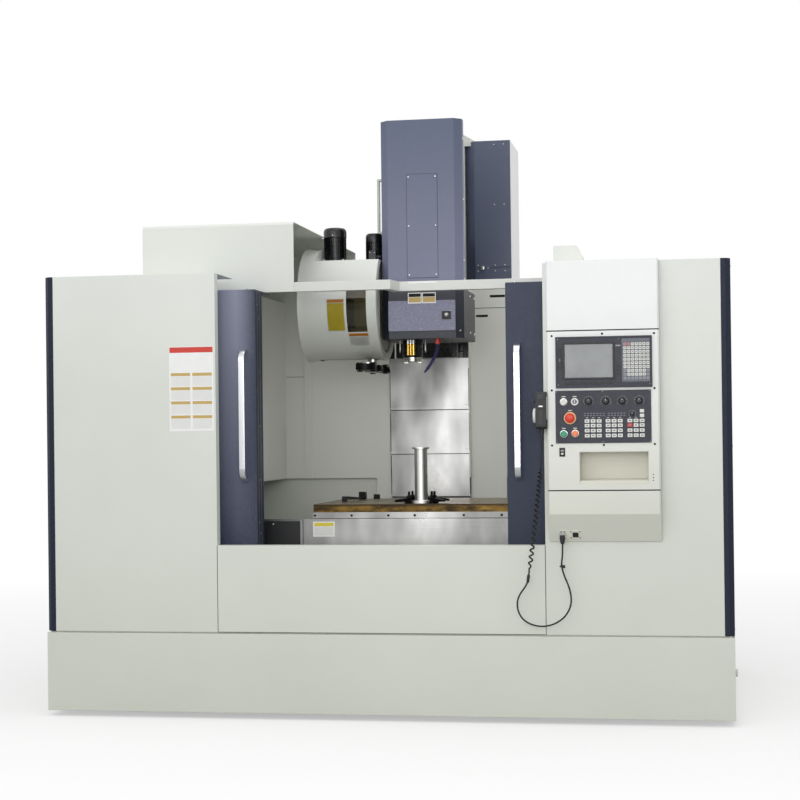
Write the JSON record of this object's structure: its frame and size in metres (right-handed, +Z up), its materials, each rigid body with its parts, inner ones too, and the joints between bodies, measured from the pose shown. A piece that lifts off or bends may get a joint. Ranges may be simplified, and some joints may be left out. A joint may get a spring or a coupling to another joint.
{
  "type": "cnc machining center",
  "caption": "Vertical machining centre with sliding doors, travelling table, tool magazine with change arm, and a control panel with handwheel pendant.",
  "frame": {"origin": "on the floor under the middle of the whole machine", "axes": "+X along the front to the operator's right, +Y from the front to the rear, +Z up"},
  "size_m": [3.02, 2.8878, 2.905],
  "materials": {
    "cream_paint": "semi-gloss paint",
    "pale_paint": "semi-gloss paint",
    "navy_paint": "semi-gloss paint",
    "dark_navy_paint": "semi-gloss paint",
    "bed_paint": "painted casting with ground seats",
    "stainless": "brushed",
    "machined_steel": "ground and oiled",
    "table_iron": "ground cast iron under oil",
    "aluminium": "satin",
    "black_paint": "gloss paint",
    "black_steel": "blackened",
    "panel_plate": "matt film",
    "screen_glass": "dull screen",
    "window_glass": "clear",
    "brown_glass": "tinted",
    "white_plastic": "matt",
    "black_plastic": "matt",
    "red_plastic": "gloss",
    "green_plastic": "gloss",
    "orange_plastic": "gloss",
    "blue_plastic": "satin",
    "cord_rubber": "matt"
  },
  "bodies": {
    "machine": {"bed": "bed_paint", "levelling_feet": "black_steel", "base_skirt": "cream_paint", "left_cabinet": "cream_paint", "right_cabinet": "cream_paint", "corner_trims": "dark_navy_paint", "front_sill": "cream_paint", "top_beam": "pale_paint", "magazine_guard": "cream_paint", "inner_walls": "pale_paint", "column": "bed_paint", "column_cover": "navy_paint", "feed_motors": "black_paint", "rear_cabinet": "cream_paint", "magazine_cover": "cream_paint", "magazine_window": "brown_glass", "arm_gearbox": "bed_paint", "magazine_motors": "black_paint", "control_box": "cream_paint", "display_unit": "panel_plate", "display_glass": "screen_glass", "operator_panel": "panel_plate", "panel_controls": "white_plastic", "panel_sockets": "black_plastic", "pendant_body": "black_plastic", "pendant_lead": "cord_rubber", "pendant_coil": "cord_rubber", "pendant_loop": "cord_rubber"},
    "saddle": {"saddle": "bed_paint", "saddle_apron": "stainless"},
    "table": {"table": "table_iron", "test_bar": "machined_steel", "clamp_set": "black_steel"},
    "head": {"headstock": "black_paint", "head_cover": "navy_paint", "head_plate": "navy_paint", "spindle_motor": "black_paint", "spindle_housing": "black_steel", "coolant_hose": "blue_plastic", "column_plate_upper": "stainless"},
    "plate_middle": {"column_plate_middle": "stainless"},
    "plate_lower": {"column_plate_lower": "stainless"},
    "spindle": {"spindle": "machined_steel"},
    "magazine_disc": {"magazine_disc": "black_steel"},
    "arm_shaft": {"arm_shaft": "machined_steel"},
    "change_arm": {"change_arm": "black_steel"},
    "left_door": {"left_door": "navy_paint", "left_window": "window_glass", "left_handle": "aluminium"},
    "right_door": {"right_door": "navy_paint", "right_window": "window_glass", "right_handle": "aluminium"},
    "rear_door": {"rear_door": "cream_paint"},
    "emergency_stop": {"emergency_stop": "red_plastic"},
    "start_button": {"start_button": "green_plastic"},
    "hold_button": {"hold_button": "orange_plastic"},
    "power_button": {"power_button": "white_plastic"},
    "key_switch": {"key_switch": "machined_steel"},
    "pendant_wheel": {"pendant_wheel": "white_plastic"}
  },
  "joints": [
    {"name": "saddle_slide", "type": "slide", "parent": "machine", "child": "saddle", "axis": [0, 1, 0], "range_m": [-0.13, 0.57]},
    {"name": "table_slide", "type": "slide", "parent": "saddle", "child": "table", "axis": [1, 0, 0], "range_m": [-0.88, 0.316]},
    {"name": "head_slide", "type": "slide", "parent": "machine", "child": "head", "axis": [0, 0, 1], "range_m": [-0.6, 0.05]},
    {"name": "plate_middle_slide", "type": "slide", "parent": "machine", "child": "plate_middle", "axis": [0, 0, 1], "range_m": [-0.402, 0.036]},
    {"name": "plate_lower_slide", "type": "slide", "parent": "machine", "child": "plate_lower", "axis": [0, 0, 1], "range_m": [-0.202, 0.019]},
    {"name": "spindle_spin", "type": "hinge", "parent": "head", "child": "spindle", "pos_m": [-0.024, -0.2404, 1.586], "axis": [0, 0, 1], "continuous": true},
    {"name": "left_door_slide", "type": "slide", "parent": "machine", "child": "left_door", "axis": [1, 0, 0], "range_m": [-0.1, 0.571]},
    {"name": "right_door_slide", "type": "slide", "parent": "machine", "child": "right_door", "axis": [1, 0, 0], "range_m": [-0.543, 0.1]},
    {"name": "rear_door_hinge", "type": "hinge", "parent": "machine", "child": "rear_door", "pos_m": [-0.423, 1.4439, 1.545], "axis": [0, 0, 1], "range_deg": [0, 110]},
    {"name": "magazine_turn", "type": "hinge", "parent": "machine", "child": "magazine_disc", "pos_m": [-0.5, -0.2404, 1.871], "axis": [1, 0, 0], "continuous": true},
    {"name": "arm_drop", "type": "slide", "parent": "machine", "child": "arm_shaft", "axis": [0, 0, 1], "range_m": [-0.115, 0]},
    {"name": "arm_swing", "type": "hinge", "parent": "arm_shaft", "child": "change_arm", "pos_m": [-0.224, -0.2404, 1.572], "axis": [0, 0, 1], "range_deg": [0, 180]},
    {"name": "stop_press", "type": "slide", "parent": "machine", "child": "emergency_stop", "axis": [0, 1, 0], "range_m": [0, 0.004]},
    {"name": "start_press", "type": "slide", "parent": "machine", "child": "start_button", "axis": [0, 1, 0], "range_m": [0, 0.003], "stiffness_N_per_m": 600},
    {"name": "hold_press", "type": "slide", "parent": "machine", "child": "hold_button", "axis": [0, 1, 0], "range_m": [0, 0.003], "stiffness_N_per_m": 600},
    {"name": "power_press", "type": "slide", "parent": "machine", "child": "power_button", "axis": [0, 1, 0], "range_m": [0, 0.003], "stiffness_N_per_m": 600},
    {"name": "key_turn", "type": "hinge", "parent": "machine", "child": "key_switch", "pos_m": [0.8545, -1.4129, 1.3575], "axis": [0, 1, 0], "range_deg": [0, 90]},
    {"name": "wheel_turn", "type": "hinge", "parent": "machine", "child": "pendant_wheel", "pos_m": [0.692, -1.4004, 1.302], "axis": [1, 0, 0], "continuous": true}
  ],
  "couplings": [
    {"joint": "plate_middle_slide", "follows": "head_slide", "ratio": 0.66667},
    {"joint": "plate_lower_slide", "follows": "head_slide", "ratio": 0.33333}
  ]
}
